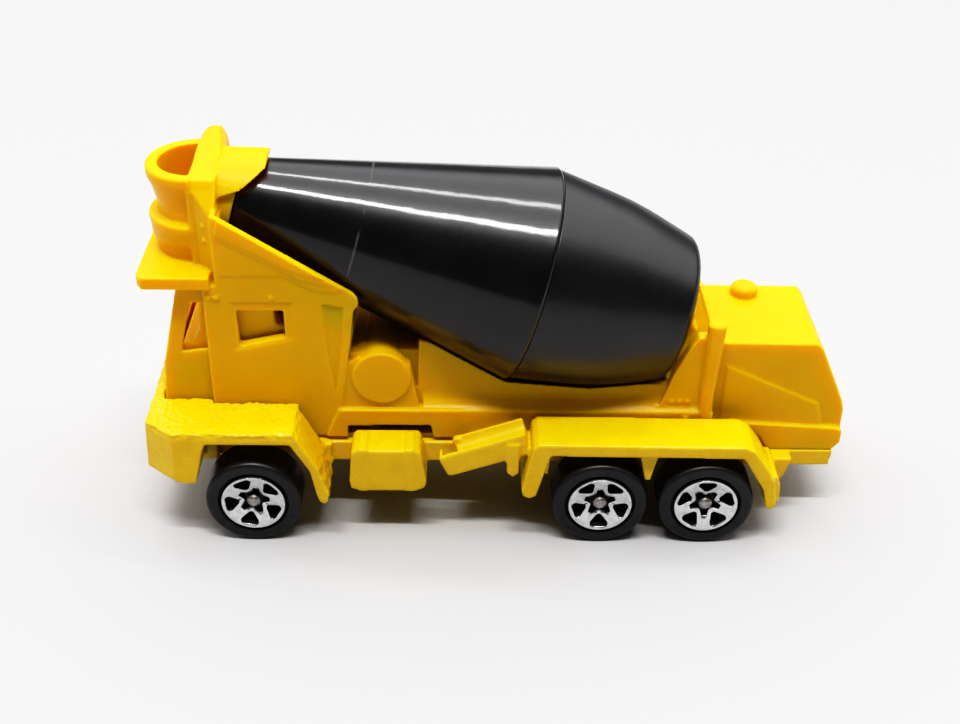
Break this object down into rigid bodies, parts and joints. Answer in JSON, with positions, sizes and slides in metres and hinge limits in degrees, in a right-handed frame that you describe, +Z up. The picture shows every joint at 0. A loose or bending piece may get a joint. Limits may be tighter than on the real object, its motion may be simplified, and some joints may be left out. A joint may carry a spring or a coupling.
{
  "type": "toy cement mixer",
  "caption": "Toy front-discharge cement mixer truck with a tilted drum that turns, a hopper over the cab, and freely rolling wheels on plain axles.",
  "frame": {"origin": "centre of the bounding box on the ground plane under the wheels", "axes": "-X towards the truck's front bumper, +Y to its right-hand side, +Z up"},
  "size_m": [0.0747, 0.027, 0.0406],
  "materials": {
    "chassis_paint": "gloss yellow paint on a zinc casting",
    "body_plastic": "slightly translucent yellow moulding",
    "interior_plastic": "satin yellow moulding",
    "drum_plastic": "polished black moulding",
    "wheel_plastic": "satin black moulding",
    "wheel_foil": "hot-stamped bright foil",
    "bare_steel": "dull plain steel"
  },
  "bodies": {
    "truck": {"chassis_casting": "chassis_paint", "body_moulding": "body_plastic", "cab_interior": "interior_plastic", "chassis_rivets": "bare_steel"},
    "drum": {"drum_front_shell": "drum_plastic", "drum_rear_shell": "drum_plastic"},
    "front_axle_body": {"front_axle": "bare_steel"},
    "middle_axle_body": {"middle_axle": "bare_steel"},
    "rear_axle_body": {"rear_axle": "bare_steel"},
    "front_left_wheel_body": {"front_left_wheel": "wheel_plastic", "front_left_wheel_foil": "wheel_foil"},
    "front_right_wheel_body": {"front_right_wheel": "wheel_plastic", "front_right_wheel_foil": "wheel_foil"},
    "middle_left_wheel_body": {"middle_left_wheel": "wheel_plastic", "middle_left_wheel_foil": "wheel_foil"},
    "middle_right_wheel_body": {"middle_right_wheel": "wheel_plastic", "middle_right_wheel_foil": "wheel_foil"},
    "rear_left_wheel_body": {"rear_left_wheel": "wheel_plastic", "rear_left_wheel_foil": "wheel_foil"},
    "rear_right_wheel_body": {"rear_right_wheel": "wheel_plastic", "rear_right_wheel_foil": "wheel_foil"}
  },
  "joints": [
    {"name": "drum_spin", "type": "hinge", "parent": "truck", "child": "drum", "pos_m": [0.00325, 0, 0.02575], "axis": [-0.9627, 0, 0.2706], "continuous": true},
    {"name": "front_axle_spin", "type": "hinge", "parent": "truck", "child": "front_axle_body", "pos_m": [-0.02615, 0, 0.0051], "axis": [0, 1, 0], "continuous": true},
    {"name": "middle_axle_spin", "type": "hinge", "parent": "truck", "child": "middle_axle_body", "pos_m": [0.01075, 0, 0.0051], "axis": [0, 1, 0], "continuous": true},
    {"name": "rear_axle_spin", "type": "hinge", "parent": "truck", "child": "rear_axle_body", "pos_m": [0.02205, 0, 0.0051], "axis": [0, 1, 0], "continuous": true},
    {"name": "front_left_wheel_spin", "type": "hinge", "parent": "front_axle_body", "child": "front_left_wheel_body", "pos_m": [-0.02615, -0.0112, 0.0051], "axis": [0, 1, 0], "continuous": true},
    {"name": "front_right_wheel_spin", "type": "hinge", "parent": "front_axle_body", "child": "front_right_wheel_body", "pos_m": [-0.02615, 0.0112, 0.0051], "axis": [0, 1, 0], "continuous": true},
    {"name": "middle_left_wheel_spin", "type": "hinge", "parent": "middle_axle_body", "child": "middle_left_wheel_body", "pos_m": [0.01075, -0.0112, 0.0051], "axis": [0, 1, 0], "continuous": true},
    {"name": "middle_right_wheel_spin", "type": "hinge", "parent": "middle_axle_body", "child": "middle_right_wheel_body", "pos_m": [0.01075, 0.0112, 0.0051], "axis": [0, 1, 0], "continuous": true},
    {"name": "rear_left_wheel_spin", "type": "hinge", "parent": "rear_axle_body", "child": "rear_left_wheel_body", "pos_m": [0.02205, -0.0112, 0.0051], "axis": [0, 1, 0], "continuous": true},
    {"name": "rear_right_wheel_spin", "type": "hinge", "parent": "rear_axle_body", "child": "rear_right_wheel_body", "pos_m": [0.02205, 0.0112, 0.0051], "axis": [0, 1, 0], "continuous": true}
  ]
}
